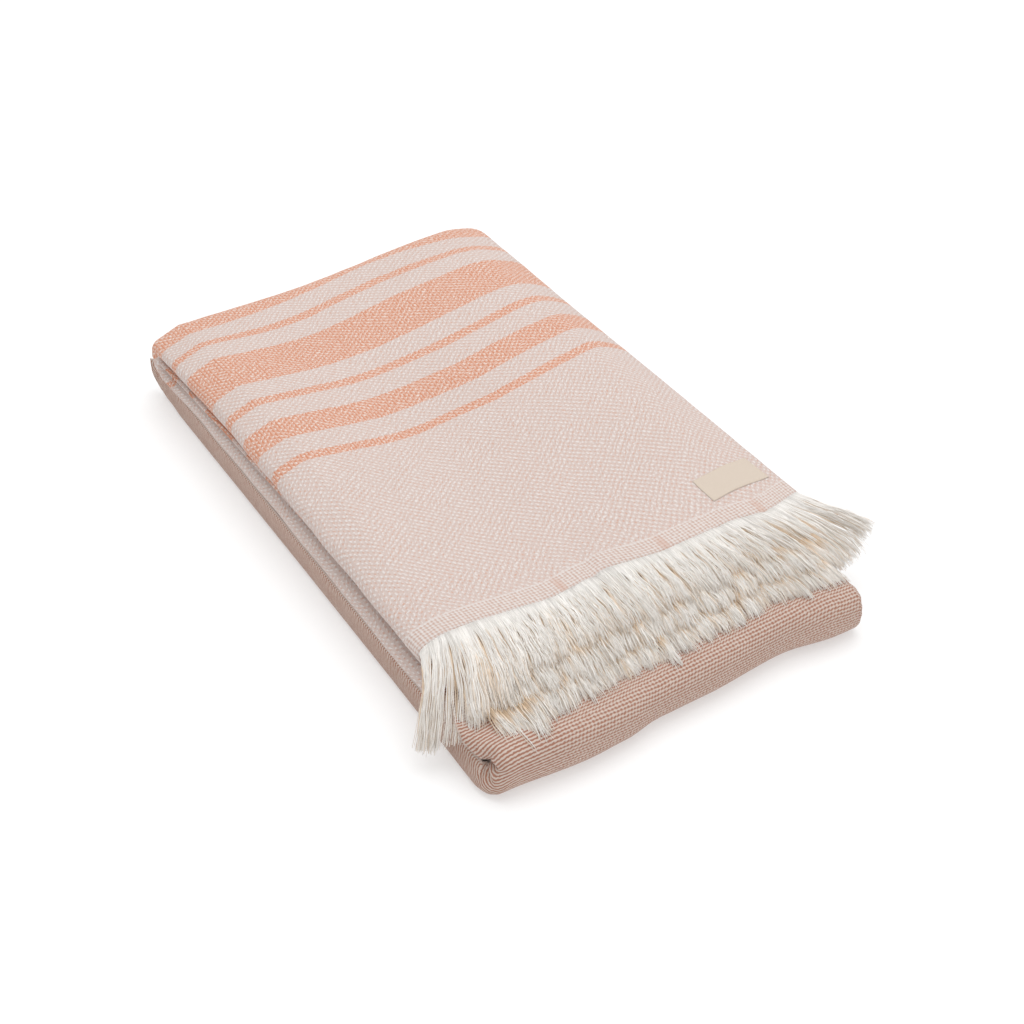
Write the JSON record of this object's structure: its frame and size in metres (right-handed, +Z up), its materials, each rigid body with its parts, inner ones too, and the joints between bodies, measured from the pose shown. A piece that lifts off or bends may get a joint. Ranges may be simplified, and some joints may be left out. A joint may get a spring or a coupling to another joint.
{
  "type": "folded hammam towel",
  "caption": "Flat-woven cotton towel with coloured stripes and fringed ends, folded into a soft rectangular stack.",
  "frame": {"origin": "on the floor, under the middle of the whole part's bounding box", "axes": "+Z up, +Y away from the fringed end that shows, +X along that fringe to the end with the label"},
  "size_m": [0.4028, 0.6152, 0.0909],
  "materials": {
    "cotton_cloth": "matt flat weave",
    "cotton_fringe": "matt loose yarns",
    "label_tape": "plain woven tape"
  },
  "bodies": {
    "root": {"towel_cloth": "cotton_cloth", "near_fringe_upper": "cotton_fringe", "near_fringe_middle": "cotton_fringe", "near_fringe_lower": "cotton_fringe", "far_fringe_upper": "cotton_fringe", "far_fringe_middle": "cotton_fringe", "far_fringe_lower": "cotton_fringe", "sewn_label": "label_tape"}
  },
  "joints": []
}
